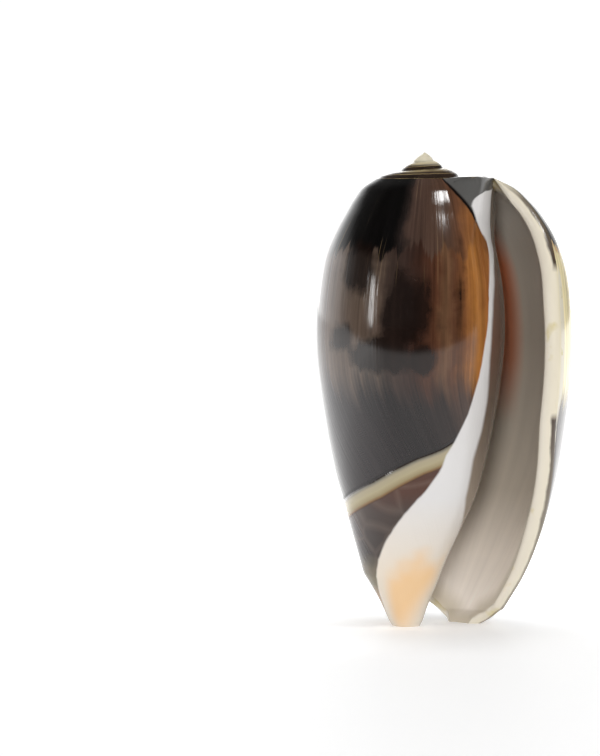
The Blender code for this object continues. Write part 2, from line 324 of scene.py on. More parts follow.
def wallMarks(points, angle, ring=-1):
    # what the materials read on the wall: angles, heights, and distances to each marking's edge in mm
    z = points[..., 2]
    angle = angle + 0 * z
    fields = {"winding": angle, "streak": streakAngle(angle, z), "ring": ring + 0 * z, "height": z}
    fields["patch"] = np.full(z.shape, -1.0)
    for patchZ, patchAngle, halfHeight, halfWidth in marks["darkPatches"]:
        depth = 1 - np.hypot((z - patchZ) / halfHeight, (angle - patchAngle) / halfWidth)
        fields["patch"] = np.maximum(fields["patch"], depth * min(halfHeight, halfWidth * 0.1))
    for name, stations in (("callus", marks["callusEdge"]), ("lining", marks["liningEdge"])):
        lineZ, lineAngle, line = lineOnWall(stations)
        side = np.interp(z, lineZ[::-1], lineAngle[::-1])
        past = (angle - side) * 0.13
        upper = smoothStep(z, 33, 38)
        fields[name] = (1 - upper) * np.sign(past) * nearest(points, line) + upper * past
    lineZ, lineAngle, line = lineOnWall(marks["bandLine"])
    fields["band"] = np.where(z > np.interp(angle, lineAngle, lineZ), 1, -1) * nearest(points, line)
    fields["margin"] = nearest(points, rimOuter)
    return fields


def plainMarks(points, angle, **own):
    # the same where no marking lies near
    fields = dict.fromkeys(fieldNames, 9)
    fields.update(winding=angle, streak=angle, ring=-1, height=points[..., 2], patch=-1)
    fields.update(own)
    return fields


def liningMarks(points, angle):
    return plainMarks(points, angle, margin=-form["lipThickness"] - nearest(points, rimInner))


def hexColour(text):
    # sRGB hex to linear
    values = [int(text[i : i + 2], 16) / 255 for i in (1, 3, 5)]
    values = [v / 12.92 if v <= 0.04045 else ((v + 0.055) / 1.055) ** 2.4 for v in values]
    return (*values, 1.0)


def addNode(tree, kind, inputs=None, stops=None, output=0, **settings):
    # adds a node with its settings, and links or sets its inputs
    node = tree.nodes.new(kind)
    for name, value in settings.items():
        setattr(node, name, value)
    for i, (position, colour) in enumerate(stops or ()):
        mark = node.color_ramp.elements[i] if i < 2 else node.color_ramp.elements.new(position)
        mark.position = position
        mark.color = hexColour(colour) if isinstance(colour, str) else (colour, colour, colour, 1)
    for name, value in (inputs or {}).items():
        if isinstance(value, bpy.types.NodeSocket):
            tree.links.new(value, node.inputs[name])
        else:
            node.inputs[name].default_value = hexColour(value) if isinstance(value, str) else value
    return node.outputs[output] if node.outputs else node


mixing = {"output": 2, "data_type": "RGBA"}  # a Mix node for colours, whose colours are its sockets 6 and 7
soft = {"interpolation_type": "SMOOTHSTEP"}


def startMaterial(name, fields=()):
    # a bare material, what its surface carries as attributes, and the place on the object
    material = bpy.data.materials.new(name)
    material.use_nodes = True
    tree = material.node_tree
    tree.nodes.clear()
    at = {field: addNode(tree, "ShaderNodeAttribute", output="Fac",
                         attribute_name=field) for field in fields}
    return material, tree, at, addNode(tree, "ShaderNodeTexCoord", output="Object")


# Olive shell, the glazed outer layer: smooth as porcelain, which gives sharp highlights over dark and pale
# growth bands. The three zones' bands run over the winding angle, the others from 0 to 1, and the rest is
# in mm.
look = {
    "topBands": ((0, "#3a2a20"), (6, "#1c1512"), (46, "#1a1614"), (62, "#2b2420"), (76, "#14100f"),
                 (90, "#272019"), (104, "#312a25"), (112, "#241d19"), (124, "#352b25"), (131, "#231b17"),
                 (150, "#33271f"), (168, "#241913"), (180, "#1c130f"), (225, "#0e0c0b"), (284, "#0b0a0a"),
                 (290, "#231d1b"), (295, "#46362f"), (324, "#4b372c"), (334, "#5c3d2b"), (343, "#8a5a34"),
                 (354, "#8a5528"), (366, "#5e3a22")),
    "middleBands": ((0, "#efe0ae"), (36, "#e6d6a4"), (56, "#d6c393"), (65, "#a39270"), (71, "#514e4c"),
                    (76, "#4d4a46"), (80, "#776d4d"), (86, "#6b5740"), (91, "#2b211b"), (97, "#4f4b45"),
                    (103, "#6f695e"), (109, "#7a705c"), (114, "#8b8070"), (118, "#4f453b"),
                    (124, "#3c291d"), (130, "#4b3829"), (139, "#7d6d5a"), (145, "#5c4f41"),
                    (150, "#372c25"), (163, "#3c2a1f"), (172, "#47291a"), (182, "#33201a"),
                    (228, "#33241d"), (243, "#5a4c42"), (274, "#52443a"), (281, "#3a2e28"),
                    (292, "#362823"), (304, "#3b251c"), (314, "#4f3122"), (321, "#674a35"),
                    (327, "#543626"), (334, "#774c2d")),
    "innerBands": ((0.0, "#774c2d"), (0.35, "#a26a33"), (0.6, "#8a5429"), (0.72, "#955d2d"),
                   (1.0, "#6e4224")),
    "lowerBands": ((0, "#3a302a"), (30, "#1f1b19"), (60, "#242120"), (70, "#3a3838"), (80, "#231f1e"),
                   (90, "#1b1817"), (96, "#393430"), (102, "#221d1b"), (114, "#332f2b"), (122, "#5d554b"),
                   (127, "#2a2421"), (134, "#3f3a35"), (144, "#272120"), (190, "#231b1a"),
                   (240, "#292324"), (290, "#221e1e"), (316, "#2b2321"), (334, "#4a3830"),
                   (360, "#4a3224")),
    "topHeight": 39.8,
    "middleHeight": 25.5,
    "streakWidth": 0.45,
    "bandWidth": 1.9,
    "mottleSize": 2.381,
    "cloudSize": 7.692,
    "veinSize": 4.348,
    "orangeLine": "#a9661f",
    "lipIvory": "#d1c9b6",
    "callusWhite": "#d3d1d0",
    "footCream": "#ddcfbb",
    "footOrange": "#e6b268",
    "apexCream": "#d5cdb6",
    "patchInk": "#150d0a",
    "threadInk": "#a98f66",
    "veinInk": "#8d7a6c",
    "borderFleck": "#b9ad70",
    # a thin dark line painted as shade in the crease at the mound's foot
    "moundCreaseShade": "#120e0d",
    "moundGrey": "#5b5a58",
    "spireTan": "#3b2f26",
    "belowBands": ((0.0, "#b08e6c"), (0.14, "#9b8062"), (0.26, "#756c55"), (0.38, "#5f5646"),
                   (0.48, "#332a27"), (0.8, "#3d302b"), (1.0, "#4a2c20")),
    # the band's grey upper edge and the dark line over it are painted shade of the groove
    "creamBandAndGrooveShade": ((0.15, "#33201b"), (0.19, "#55391f"), (0.23, "#7a5c38"), (0.30, "#8f815f"),
                   (0.45, "#a29778"), (0.62, "#9d937a"), (0.72, "#757064"), (0.77, "#2a2220"),
                   (0.83, "#120e0d")),
    # the dark line beside each suture is painted shade in its groove
    "ringBandsWithGrooveShade": ((0.0, "#9c8558"), (0.09, "#c7b587"), (0.13, "#5b4930"), (0.17, "#16100e"),
                  (0.33, "#1d1614"), (0.38, "#a18d62"), (0.42, "#3a2c22"), (0.50, "#1f1815"),
                  (0.56, "#8d7a54"), (0.70, "#b8a676"), (0.82, "#a08c60"), (1.0, "#cbbb90")),
    # the lining on the columella wall, painted darker as shade deep in the aperture
    "insideShadeBands": ((0.0, "#a89c8e"), (0.28, "#8f8274"), (0.45, "#6b5c50"), (0.6, "#6a4f42"),
                    (0.8, "#6a5a50"), (0.95, "#7d7468")),
    "bandWander": 4.0,
    "bandJag": 2.0,
    "edgeWander": 1.3,
    "edgeFray": 0.5,
    "patchJag": 0.3,
    "belowWander": 1.4,
    "ringWander": 0.03,
    "orangeWander": 2.4,
    "rippleHeight": 0.03,
    "bandHeight": 0.22,
    "callusHeight": 0.16,
    "roughness": 0.1,
    "ior": 1.5,
}

fieldNames = ("winding", "streak", "ring", "height", "callus", "lining", "band", "patch", "margin")
glaze, tree, at, spot = startMaterial("olive shell glaze", fieldNames)

# noise stretched along the growth lines: about 0.2 mm of wall to each degree
streaks = {}
for name, width, rise, layer, detail, grit in (("fine", look["streakWidth"], 0.045, 3.0, 3.0, 0.6),
                                               ("broad", look["bandWidth"], 0.06, 8.0, 4.0, 0.55)):
    across = addNode(tree, "ShaderNodeMath", {0: at["streak"], 1: 0.2 / width}, operation="MULTIPLY")
    along = addNode(tree, "ShaderNodeMath", {0: at["height"], 1: rise}, operation="MULTIPLY")
    streakSpot = addNode(tree, "ShaderNodeCombineXYZ", {0: across, 1: along, 2: layer})
    streaks[name] = addNode(tree, "ShaderNodeTexNoise", {"Vector": streakSpot, "Scale": 1.0,
                                                         "Detail": detail, "Roughness": grit})
fineStreaks, broadStreaks = streaks["fine"], streaks["broad"]
mottle = addNode(tree, "ShaderNodeTexNoise", {"Vector": spot, "Scale": 1000 / look["mottleSize"],
                                              "Detail": 5.0, "Roughness": 0.6})
cloud = addNode(tree, "ShaderNodeTexNoise", {"Vector": spot, "Scale": 1000 / look["cloudSize"],
                                             "Detail": 3.0, "Roughness": 0.5})

# how far the noises move each edge either way: degrees for the bands, a share for the rings, else
# millimetres
shift = {name: addNode(tree, "ShaderNodeMapRange", {"Value": noise, "From Min": 0.3, "From Max": 0.7,
                                                    "To Min": -look[name], "To Max": look[name]})
         for name, noise in (("bandWander", cloud), ("bandJag", mottle), ("edgeWander", broadStreaks),
                             ("edgeFray", fineStreaks), ("patchJag", mottle), ("belowWander", cloud),
                             ("ringWander", mottle), ("orangeWander", cloud))}

# the growth bands wander a little in angle, and each zone of height has its own run of colours
bandAngle = addNode(tree, "ShaderNodeMath", {0: at["streak"], 1: shift["bandWander"]}, operation="ADD")
bandAngle = addNode(tree, "ShaderNodeMath", {0: bandAngle, 1: shift["bandJag"]}, operation="ADD")
bandPlace = addNode(tree, "ShaderNodeMath", {0: bandAngle, 1: 400.0}, operation="DIVIDE")
topColour, middleColour, lowerColour = (
    addNode(tree, "ShaderNodeValToRGB", {"Fac": bandPlace},
            stops=[(angle / 400, colour) for angle, colour in look[zone]])
    for zone in ("topBands", "middleBands", "lowerBands"))
frayed = addNode(tree, "ShaderNodeMath", {0: at["height"], 1: shift["edgeWander"]}, operation="ADD")
frayed = addNode(tree, "ShaderNodeMath", {0: frayed, 1: shift["edgeFray"]}, operation="ADD")
isTop = addNode(tree, "ShaderNodeMapRange", {"Value": frayed, "From Min": look["topHeight"] - 0.35,
                                             "From Max": look["topHeight"] + 0.35}, **soft)
isLower = addNode(tree, "ShaderNodeMapRange", {"Value": frayed, "From Min": look["middleHeight"] + 2.2,
                                               "From Max": look["middleHeight"] - 2.2}, **soft)
innerPlace = addNode(tree, "ShaderNodeMapRange", {"Value": bandAngle, "From Min": 334.0, "From Max": 366.0})
innerColour = addNode(tree, "ShaderNodeValToRGB", {"Fac": innerPlace}, stops=look["innerBands"])
pastBands = addNode(tree, "ShaderNodeMath", {0: bandAngle, 1: 334.0}, operation="GREATER_THAN")
middleColour = addNode(tree, "ShaderNodeMix", {0: pastBands, 6: middleColour, 7: innerColour}, **mixing)
colour = middleColour
for mask, ink in ((isTop, topColour), (isLower, lowerColour)):
    colour = addNode(tree, "ShaderNodeMix", {0: mask, 6: colour, 7: ink}, **mixing)

# nearly black patches with ragged edges
rough = addNode(tree, "ShaderNodeMath", {0: shift["edgeWander"], 1: shift["edgeFray"]}, operation="ADD")
rough = addNode(tree, "ShaderNodeMath", {0: rough, 1: 0.35, 2: at["patch"]}, operation="MULTIPLY_ADD")
patchMask = addNode(tree, "ShaderNodeMath", {0: rough, 1: shift["patchJag"]}, operation="ADD")
patchMask = addNode(tree, "ShaderNodeMapRange", {"Value": patchMask, "From Min": -0.15, "From Max": 0.45,
                                                 "To Max": 0.9})
colour = addNode(tree, "ShaderNodeMix", {0: patchMask, 6: colour, 7: look["patchInk"]}, **mixing)

# light and dark growth streaks
streakShade = addNode(tree, "ShaderNodeValToRGB", {"Fac": fineStreaks},
                      stops=((0.25, 0.55), (0.42, 0.85), (0.55, 1.0), (0.68, 1.2)))
bandShade = addNode(tree, "ShaderNodeMapRange", {"Value": broadStreaks, "From Min": 0.3, "From Max": 0.7,
                                                 "To Min": 0.75, "To Max": 1.2})
shade = addNode(tree, "ShaderNodeMath", {0: streakShade, 1: bandShade}, operation="MULTIPLY")
colour = addNode(tree, "ShaderNodeVectorMath", {0: colour, "Scale": shade}, operation="SCALE")
print("glaze bands mixed")

# thin pale growth lines over the shoulder
thread = addNode(tree, "ShaderNodeMapRange", {"Value": fineStreaks, "From Min": 0.62, "From Max": 0.68})
upper = addNode(tree, "ShaderNodeMapRange", {"Value": at["height"], "From Min": 36.0, "From Max": 42.0,
                                             "To Max": 0.45})
thread = addNode(tree, "ShaderNodeMath", {0: thread, 1: upper}, operation="MULTIPLY")
colour = addNode(tree, "ShaderNodeMix", {0: thread, 6: colour, 7: look["threadInk"]}, **mixing)

# orange rim under the top zone, on the back only
nearTop = addNode(tree, "ShaderNodeMath", {0: frayed, 1: look["topHeight"] - 0.35}, operation="SUBTRACT")
nearTop = addNode(tree, "ShaderNodeMath", {0: nearTop}, operation="ABSOLUTE")
line = addNode(tree, "ShaderNodeMapRange", {"Value": nearTop, "From Min": 0.5, "From Max": 0.1,
                                            "To Max": 0.6})
back = addNode(tree, "ShaderNodeMapRange", {"Value": at["winding"], "From Min": 215.0, "From Max": 200.0})
line = addNode(tree, "ShaderNodeMath", {0: line, 1: back}, operation="MULTIPLY")
colour = addNode(tree, "ShaderNodeMix", {0: line, 6: colour, 7: look["orangeLine"]}, **mixing)

# the raised cream band round the foot, with painted shade on its upper edge and as a dark line in the
# groove over it, and an orange edge under it
below = addNode(tree, "ShaderNodeMapRange", {"Value": at["band"], "From Min": -0.3, "From Max": -0.6})
footPlace = addNode(tree, "ShaderNodeMath", {0: at["height"], 1: shift["belowWander"]}, operation="ADD")
footPlace = addNode(tree, "ShaderNodeMath", {0: footPlace, 1: 16.0}, operation="DIVIDE")
belowInk = addNode(tree, "ShaderNodeValToRGB", {"Fac": footPlace}, stops=look["belowBands"])
vein = addNode(tree, "ShaderNodeTexVoronoi", {"Vector": spot, "Scale": 1000 / look["veinSize"]},
               feature="DISTANCE_TO_EDGE")
vein = addNode(tree, "ShaderNodeMapRange", {"Value": vein, "From Max": 0.09, "To Min": 0.14, "To Max": 0.0})
belowInk = addNode(tree, "ShaderNodeMix", {0: vein, 6: belowInk, 7: look["veinInk"]}, **mixing)
colour = addNode(tree, "ShaderNodeMix", {0: below, 6: colour, 7: belowInk}, **mixing)
bandRamp = addNode(tree, "ShaderNodeMapRange", {"Value": at["band"], "From Min": -1.6, "From Max": 1.6})
bandInk = addNode(tree, "ShaderNodeValToRGB", {"Fac": bandRamp}, stops=look["creamBandAndGrooveShade"])
isBand = addNode(tree, "ShaderNodeValToRGB", {"Fac": bandRamp},
                 stops=((0.15, 0.0), (0.19, 1.0), (0.77, 1.0), (0.83, 0.8), (0.90, 0.0)))
colour = addNode(tree, "ShaderNodeMix", {0: isBand, 6: colour, 7: bandInk}, **mixing)

# pale border behind the outer lip, with olive flecks
border = addNode(tree, "ShaderNodeMath", {0: at["margin"], 1: shift["edgeFray"]}, operation="ADD")
heightShare = addNode(tree, "ShaderNodeMapRange", {"Value": at["height"], "From Max": form["top"]})
reach = addNode(tree, "ShaderNodeValToRGB", {"Fac": heightShare},
                stops=((0.43, 0.0), (0.5, 0.9), (0.72, 1.0), (0.77, 0.0)))
border = addNode(tree, "ShaderNodeMath", {0: border, 1: reach}, operation="SUBTRACT")
border = addNode(tree, "ShaderNodeMapRange", {"Value": border, "From Min": 0.1, "From Max": -0.3})
fleck = addNode(tree, "ShaderNodeMapRange", {"Value": mottle, "From Min": 0.58, "From Max": 0.66,
                                             "To Max": 0.7})
borderInk = addNode(tree, "ShaderNodeMix", {0: fleck, 6: look["lipIvory"], 7: look["borderFleck"]},
                    **mixing)
colour = addNode(tree, "ShaderNodeMix", {0: border, 6: colour, 7: borderInk}, **mixing)

# spire: each whorl has a cream crest, dark lines beside the suture, the one in the suture's groove painted
# shade, and a tan face
ringPlace = addNode(tree, "ShaderNodeMath", {0: at["ring"], 1: shift["ringWander"]}, operation="ADD")
onSpire = addNode(tree, "ShaderNodeMapRange", {"Value": ringPlace, "From Min": -0.1, "From Max": -0.06})
ringPlace = addNode(tree, "ShaderNodeMapRange", {"Value": ringPlace, "From Min": -0.1, "From Max": 1.0})
ringInk = addNode(tree, "ShaderNodeValToRGB", {"Fac": ringPlace}, stops=look["ringBandsWithGrooveShade"])
tanPatch = addNode(tree, "ShaderNodeMapRange", {"Value": cloud, "From Min": 0.42, "From Max": 0.6,
                                                "To Max": 0.7})
ringInk = addNode(tree, "ShaderNodeMix", {0: tanPatch, 6: ringInk, 7: look["spireTan"]}, **mixing)
apex = addNode(tree, "ShaderNodeMapRange", {"Value": at["height"], "From Min": 48.5, "From Max": 49.2,
                                            "To Max": 0.9})
ringInk = addNode(tree, "ShaderNodeMix", {0: apex, 6: ringInk, 7: look["apexCream"]}, **mixing)
colour = addNode(tree, "ShaderNodeMix", {0: onSpire, 6: colour, 7: ringInk}, **mixing)

# grey glaze on the mound beside the top of the aperture, with a thin dark line of painted shade in the
# crease along its foot
mound = addNode(tree, "ShaderNodeMath", {0: at["height"], 1: 4.6, 2: at["winding"]},
                operation="MULTIPLY_ADD")
moundCreaseShade = addNode(tree, "ShaderNodeMapRange", {"Value": mound, "From Min": 544.0, "From Max": 545.2})
mound = addNode(tree, "ShaderNodeMapRange", {"Value": mound, "From Min": 546.2, "From Max": 548.0,
                                             "To Max": 0.88})
moundTop = addNode(tree, "ShaderNodeMapRange", {"Value": at["height"], "From Min": 41.8, "From Max": 43.0})
offSpire = addNode(tree, "ShaderNodeMath", {0: 1.0, 1: onSpire}, operation="SUBTRACT")
moundTop = addNode(tree, "ShaderNodeMath", {0: moundTop, 1: offSpire}, operation="MULTIPLY")
for mask, ink in ((moundCreaseShade, look["moundCreaseShade"]), (mound, look["moundGrey"])):
    mask = addNode(tree, "ShaderNodeMath", {0: mask, 1: moundTop}, operation="MULTIPLY")
    colour = addNode(tree, "ShaderNodeMix", {0: mask, 6: colour, 7: ink}, **mixing)

# white callus over the columella, with an orange patch at its tip, and the taupe lining beyond it, darkened
# as painted shade deep in the aperture
callusSpot = addNode(tree, "ShaderNodeMapRange",
                     {"Value": at["callus"], "From Min": -0.05, "From Max": 0.25}, **soft)
cream = addNode(tree, "ShaderNodeMapRange", {"Value": at["height"], "From Min": 14.0, "From Max": 6.0,
                                             "To Max": 0.8})
callusInk = addNode(tree, "ShaderNodeMix", {0: cream, 6: look["callusWhite"], 7: look["footCream"]},
                    **mixing)
foot = addNode(tree, "ShaderNodeMath", {0: at["height"], 1: shift["orangeWander"]}, operation="ADD")
foot = addNode(tree, "ShaderNodeMapRange", {"Value": foot, "From Min": 8.0, "From Max": 4.0,
                                            "To Max": 0.62}, **soft)
for name, least, most in (("callus", 0.6, 2.4), ("lining", -0.4, -3.0)):
    inward = addNode(tree, "ShaderNodeMapRange", {"Value": at[name], "From Min": least,
                                                  "From Max": most}, **soft)
    foot = addNode(tree, "ShaderNodeMath", {0: foot, 1: inward}, operation="MULTIPLY")
callusInk = addNode(tree, "ShaderNodeMix", {0: foot, 6: callusInk, 7: look["footOrange"]}, **mixing)
colour = addNode(tree, "ShaderNodeMix", {0: callusSpot, 6: colour, 7: callusInk}, **mixing)
inside = addNode(tree, "ShaderNodeMapRange", {"Value": at["lining"], "From Min": -0.1,
                                              "From Max": 0.6}, **soft)
shaded = addNode(tree, "ShaderNodeValToRGB", {"Fac": heightShare}, stops=look["insideShadeBands"])
colour = addNode(tree, "ShaderNodeMix", {0: inside, 6: colour, 7: shaded}, **mixing)

# relief in millimetres: faint growth ripples, the band and the callus standing a little proud
ripple = addNode(tree, "ShaderNodeMath", {0: fineStreaks, 1: look["rippleHeight"]}, operation="MULTIPLY")
bandRise = addNode(tree, "ShaderNodeValToRGB", {"Fac": bandRamp},
                   stops=((0.14, 0.5), (0.23, 0.8), (0.5, 1.0), (0.70, 0.8), (0.79, 0.2), (0.88, 0.5)))
offCallus = addNode(tree, "ShaderNodeMapRange", {"Value": callusSpot, "To Min": look["bandHeight"],
                                                 "To Max": 0.0})
bandRise = addNode(tree, "ShaderNodeMath", {0: bandRise, 1: offCallus}, operation="MULTIPLY")
callusRise = addNode(tree, "ShaderNodeMath", {0: callusSpot, 1: look["callusHeight"]}, operation="MULTIPLY")
relief = ripple
for rise in (bandRise, callusRise):
    relief = addNode(tree, "ShaderNodeMath", {0: relief, 1: rise}, operation="ADD")
bump = addNode(tree, "ShaderNodeBump", {"Height": relief, "Distance": 0.001, "Strength": 0.8})
skin = addNode(tree, "ShaderNodeBsdfPrincipled", {
    "Base Color": colour, "Normal": bump, "Roughness": look["roughness"], "IOR": look["ior"]})
addNode(tree, "ShaderNodeOutputMaterial", {"Surface": skin})
print("glaze finished")

# Olive shell, inner lining: satin porcelain, which gives soft highlights on taupe with faint growth bands
# and a rust-red zone deep inside. It is paler towards the foot, partly its own tone and partly painted
# light, and brightened towards the lip as painted light. Heights run from 0 at the foot to 1 at the top.
liningLook = {
    # paler towards the foot, partly the lining's own tone and partly painted light from the floor
    "heightBandsWithFootLight": ((0.0, "#ebe3da"), (0.14, "#e0d6ca"), (0.28, "#bdb2a3"), (0.6, "#a69b8d"),
                    (0.8, "#aba194"), (0.95, "#c8c2b8")),
    "redInk": "#cf6a35",
    "redHeights": ((0.42, 0.0), (0.56, 0.7), (0.76, 0.9), (0.86, 0.1)),
    "redFrom": 68.0,
    "redTo": 78.0,
    "edgeCream": "#d6cbb8",
    "edgeOlive": "#8f7f58",
    "roughness": 0.3,
    "ior": 1.52,
}
lining, tree, at, _ = startMaterial("olive shell inner lining", ("winding", "height", "margin"))
bandX = addNode(tree, "ShaderNodeMath", {0: at["winding"], 1: 0.12}, operation="MULTIPLY")
bandZ = addNode(tree, "ShaderNodeMath", {0: at["height"], 1: 0.04}, operation="MULTIPLY")
bandSpot = addNode(tree, "ShaderNodeCombineXYZ", {0: bandX, 1: bandZ})
bands = addNode(tree, "ShaderNodeTexNoise", {"Vector": bandSpot, "Scale": 1.0, "Detail": 3.0})
ramp = addNode(tree, "ShaderNodeMapRange", {"Value": at["height"], "From Max": form["top"]})
colour = addNode(tree, "ShaderNodeValToRGB", {"Fac": ramp}, stops=liningLook["heightBandsWithFootLight"])
deep = addNode(tree, "ShaderNodeMapRange", {"Value": at["winding"], "From Min": liningLook["redFrom"],
                                            "From Max": liningLook["redTo"], "To Max": 0.9})
warm = addNode(tree, "ShaderNodeValToRGB", {"Fac": ramp}, stops=liningLook["redHeights"])
deep = addNode(tree, "ShaderNodeMath", {0: deep, 1: warm}, operation="MULTIPLY")
colour = addNode(tree, "ShaderNodeMix", {0: deep, 6: colour, 7: liningLook["redInk"]}, **mixing)
# painted light: the lining is brightened towards the lip and left darker deeper in the cavity
near = addNode(tree, "ShaderNodeMapRange",
               {"Value": at["winding"], "From Min": 35.0, "From Max": 85.0, "To Min": 1.3, "To Max": 1.15})
bandShade = addNode(tree, "ShaderNodeMapRange", {"Value": bands, "From Min": 0.3, "From Max": 0.7,
                                                 "To Min": 0.94, "To Max": 1.04})
for amount in (near, bandShade):
    colour = addNode(tree, "ShaderNodeVectorMath", {0: colour, "Scale": amount}, operation="SCALE")
edge = addNode(tree, "ShaderNodeMapRange", {"Value": at["margin"], "From Min": -4.4,
                                            "From Max": -2.0}, **soft)
edgeInk = addNode(tree, "ShaderNodeMapRange", {"Value": at["height"], "From Min": 36.0, "From Max": 41.0})
edgeInk = addNode(tree, "ShaderNodeMix", {0: edgeInk, 6: liningLook["edgeCream"],
                                          7: liningLook["edgeOlive"]}, **mixing)
colour = addNode(tree, "ShaderNodeMix", {0: edge, 6: colour, 7: edgeInk}, **mixing)
bump = addNode(tree, "ShaderNodeBump", {"Height": bands, "Distance": 0.00006, "Strength": 0.7})
skin = addNode(tree, "ShaderNodeBsdfPrincipled", {
    "Base Color": colour, "Normal": bump, "Roughness": liningLook["roughness"], "IOR": liningLook["ior"]})
addNode(tree, "ShaderNodeOutputMaterial", {"Surface": skin})

# Olive shell, lip enamel: a thick polished margin, which gives a clean ivory gleam, with olive flecks and
# two stretches of dark outer edge. The bands across run from 0 inside to 1 outside.
enamelLook = {
    "bandsAcross": ((0.0, "#cbc2b2"), (0.25, "#dcd4c5"), (0.8, "#dbd2bd"), (1.0, "#d3c9ac")),
    "fleckSize": 3.846,
    "fleckInk": "#c8b878",
    "edgeInk": "#35231a",
    "edgeHeights": ((0.1, 0.6), (0.40, 0.9), (0.445, 0.95), (0.46, 0.0), (0.75, 0.0), (0.77, 0.95),
                    (0.90, 0.8), (0.95, 0.0)),
    "roughness": 0.22,
    "ior": 1.52,
}
enamel, tree, at, spot = startMaterial("olive shell lip enamel", ("height", "margin"))
flecks = addNode(tree, "ShaderNodeTexNoise", {"Vector": spot, "Scale": 1000 / enamelLook["fleckSize"],
                                              "Detail": 3.0})
across = addNode(tree, "ShaderNodeMapRange", {"Value": at["margin"], "From Min": -form["lipThickness"],
                                              "From Max": 0.0})
ink = addNode(tree, "ShaderNodeValToRGB", {"Fac": across}, stops=enamelLook["bandsAcross"])
fleck = addNode(tree, "ShaderNodeMapRange", {"Value": flecks, "From Min": 0.62, "From Max": 0.68,
                                             "To Max": 0.6})
ink = addNode(tree, "ShaderNodeMix", {0: fleck, 6: ink, 7: enamelLook["fleckInk"]}, **mixing)
rimHeight = addNode(tree, "ShaderNodeMapRange", {"Value": at["height"], "From Max": form["top"]})
dark = addNode(tree, "ShaderNodeValToRGB", {"Fac": rimHeight}, stops=enamelLook["edgeHeights"])
ragged = addNode(tree, "ShaderNodeMapRange",
                 {"Value": flecks, "From Min": 0.3, "From Max": 0.7, "To Min": -0.12, "To Max": 0.12})
outerEdge = addNode(tree, "ShaderNodeMath", {0: at["margin"], 1: ragged}, operation="ADD")
outerEdge = addNode(tree, "ShaderNodeMapRange", {"Value": outerEdge, "From Min": -0.62, "From Max": -0.45})
dark = addNode(tree, "ShaderNodeMath", {0: dark, 1: outerEdge}, operation="MULTIPLY")
ink = addNode(tree, "ShaderNodeMix", {0: dark, 6: ink, 7: enamelLook["edgeInk"]}, **mixing)
bump = addNode(tree, "ShaderNodeBump", {"Height": flecks, "Distance": 0.00004, "Strength": 0.6})
skin = addNode(tree, "ShaderNodeBsdfPrincipled", {
    "Base Color": ink, "Normal": bump, "Roughness": enamelLook["roughness"], "IOR": enamelLook["ior"]})
addNode(tree, "ShaderNodeOutputMaterial", {"Surface": skin})
print("lining and enamel finished")


def addSheet(name, points, fields, material):
    # a grid laid along the points, with what the materials read kept on its vertices
    rows, columns = points.shape[:2]
    bpy.ops.object.select_all(action="DESELECT")
    bpy.ops.mesh.primitive_grid_add(x_subdivisions=columns - 1, y_subdivisions=rows - 1, size=0.05,
                                    location=(0, 0, 0.025))
    sheet = bpy.context.object
    bpy.ops.object.transform_apply(location=True, rotation=True, scale=True)
    sheet.name = name
    sheet.data.vertices.foreach_set("co", (points * 0.001).ravel())  # millimetres to metres
    for fieldName in fieldNames:
        values = np.broadcast_to(fields[fieldName], points.shape[:2]).astype(np.float32).ravel()
        sheet.data.attributes.new(fieldName, "FLOAT", "POINT").data.foreach_set("value", values)
    sheet.data.materials.append(material)
    return sheet


outerFields = wallMarks(outerPoints, outerAngle)
shoulderRing = np.where(shoulderAngle > 343, shoulderShare[:, None], shoulderShare[:, None] - 1)
shoulderFields = wallMarks(shoulderPoints, shoulderAngle, shoulderRing)
spireFields = plainMarks(spirePoints, spireAngle, ring=shoulderShare[:, None], callus=-9, lining=-9)
rimFields = {}
for name in fieldNames:
    wallField, edgeField = outerFields[name], shoulderFields[name]
    rimFields[name] = np.concatenate((edgeField[:0:-1, 0], wallField[::-1, 0],
                                      wallField[0, 1 : cavitySteps + 1]))
rimFields["height"] = rimPoints[..., 2]
rimFields["margin"] = np.linspace(0, -form["lipThickness"], form["rimSteps"] + 1)[:, None]
footFields = wallMarks(footPoints, 300.0)
footFields.update(callus=2, lining=-9, band=-9)
parts = [
    addSheet("olive_shell_wall", outerPoints, outerFields, glaze),
    addSheet("shoulder", shoulderPoints, shoulderFields, glaze),
    addSheet("spire", spirePoints, spireFields, glaze),
    addSheet("lining", innerPoints, liningMarks(innerPoints, innerAngle), lining),
    addSheet("roof", roofPoints, liningMarks(roofPoints, cavityAngle), lining),
    addSheet("cavity_end", endPoints, liningMarks(endPoints, form["cavityAngle"]), lining),
    addSheet("lip", rimPoints, rimFields, enamel),
    addSheet("foot", footPoints, footFields, glaze),
]
print("sheets laid")

bpy.ops.object.select_all(action="DESELECT")
for part in parts:
    part.select_set(True)
bpy.context.view_layer.objects.active = parts[0]
bpy.ops.object.join()
shell = bpy.context.object
bpy.ops.object.mode_set(mode="EDIT")
bpy.ops.mesh.select_all(action="SELECT")
bpy.ops.mesh.remove_doubles(threshold=1e-6)

# the spire's last points are drawn together into one tip
bpy.ops.mesh.select_all(action="DESELECT")
bpy.ops.object.mode_set(mode="OBJECT")
tip = Vector((form["axisX"], form["axisY"], form["top"])) * 0.001
for vertex in shell.data.vertices:
    vertex.select = (vertex.co - tip).length < 0.00006
bpy.ops.object.mode_set(mode="EDIT")
bpy.ops.mesh.select_mode(type="VERT")
bpy.ops.mesh.merge(type="CENTER")
bpy.ops.mesh.select_all(action="SELECT")
bpy.ops.mesh.normals_make_consistent(inside=False)
bpy.ops.mesh.bisect(plane_co=(0, 0, 0), plane_no=(0, 0, 1), use_fill=True, clear_inner=True, threshold=1e-6)
bpy.ops.object.mode_set(mode="OBJECT")
bpy.ops.object.shade_smooth_by_angle(angle=math.radians(55))
shell.name = "olive_shell_glazed"
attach(shell, "root")
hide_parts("shell")
print("shell joined:", len(shell.data.polygons), "faces")
